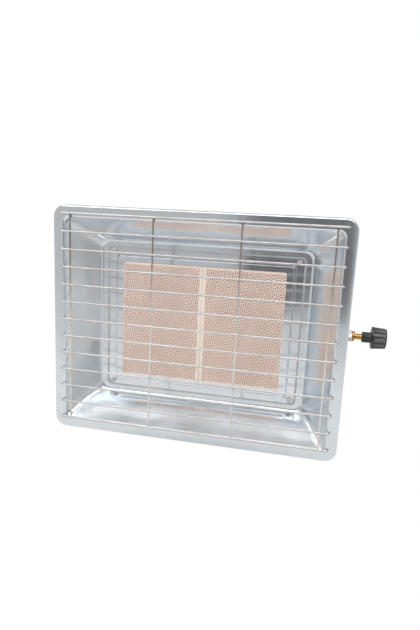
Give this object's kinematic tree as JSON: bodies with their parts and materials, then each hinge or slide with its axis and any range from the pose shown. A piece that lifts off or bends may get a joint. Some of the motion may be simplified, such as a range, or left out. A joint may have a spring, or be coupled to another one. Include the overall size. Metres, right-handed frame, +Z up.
{
  "type": "portable propane heater",
  "caption": "Portable propane radiant heater: galvanised tray reflector and wire guard over ceramic burner plates, needle valve with fluted knob, folding wire stand behind.",
  "frame": {"origin": "on the ground, at the middle of the standing heater's footprint box", "axes": "+X to the viewer's right, where the knob is; +Y from the guard back to the stand; +Z up"},
  "size_m": [0.356, 0.202, 0.2408],
  "materials": {
    "galvanised_sheet": "zinc-coated sheet, semi-bright",
    "ceramic": "unglazed perforated ceramic, pinkish tan",
    "ceramic_fibre": "pressed ceramic fibre, cream",
    "cast_alloy": "cast, satin",
    "brass": "turned brass",
    "zinc_plated_steel": "zinc plated, bright",
    "seal_rubber": "nitrile rubber",
    "black_plastic": "moulded black thermoset, satin",
    "black_steel": "blackened steel",
    "copper": "soft copper washer",
    "guard_wire": "zinc-plated drawn wire",
    "stand_wire": "zinc-plated drawn wire"
  },
  "bodies": {
    "heater": {"reflector_tray": "galvanised_sheet", "burner_frame": "galvanised_sheet", "ceramic_tile_left": "ceramic", "ceramic_tile_right": "ceramic", "tile_centre_strip": "ceramic_fibre", "tile_gasket": "ceramic_fibre", "tile_rail": "galvanised_sheet", "burner_box": "galvanised_sheet", "mixture_baffle": "galvanised_sheet", "mixer_tube": "cast_alloy", "injector": "brass", "valve_body": "brass", "valve_bonnet": "brass", "panel_nut": "zinc_plated_steel", "gland_cap": "brass", "inlet_connector": "brass", "inlet_washer": "copper", "valve_bracket": "galvanised_sheet", "rivets": "zinc_plated_steel", "frame_screws": "zinc_plated_steel", "frame_nuts": "zinc_plated_steel", "guard_bars": "guard_wire", "guard_uprights": "guard_wire", "stand_brackets": "galvanised_sheet"},
    "stand": {"stand_bail": "stand_wire", "stand_clips": "black_steel"},
    "control": {"control_knob": "black_plastic", "valve_spindle": "brass", "knob_set_screw": "black_steel", "spindle_seal": "seal_rubber"},
    "needle": {"valve_needle": "brass"}
  },
  "joints": [
    {"name": "stand_fold", "type": "hinge", "parent": "heater", "child": "stand", "pos_m": [0, 0.02047, 0.15129], "axis": [1, 0, 0], "range_deg": [-40.9, 0]},
    {"name": "knob_turn", "type": "hinge", "parent": "heater", "child": "control", "pos_m": [0.17, -0.0103, 0.10461], "axis": [1, 0, 0], "range_deg": [0, 270]},
    {"name": "needle_lift", "type": "slide", "parent": "heater", "child": "needle", "axis": [1, 0, 0], "range_m": [0, 0.00115]}
  ],
  "couplings": [
    {"joint": "needle_lift", "follows": "knob_turn", "m_per_rad": 0.00023873}
  ]
}
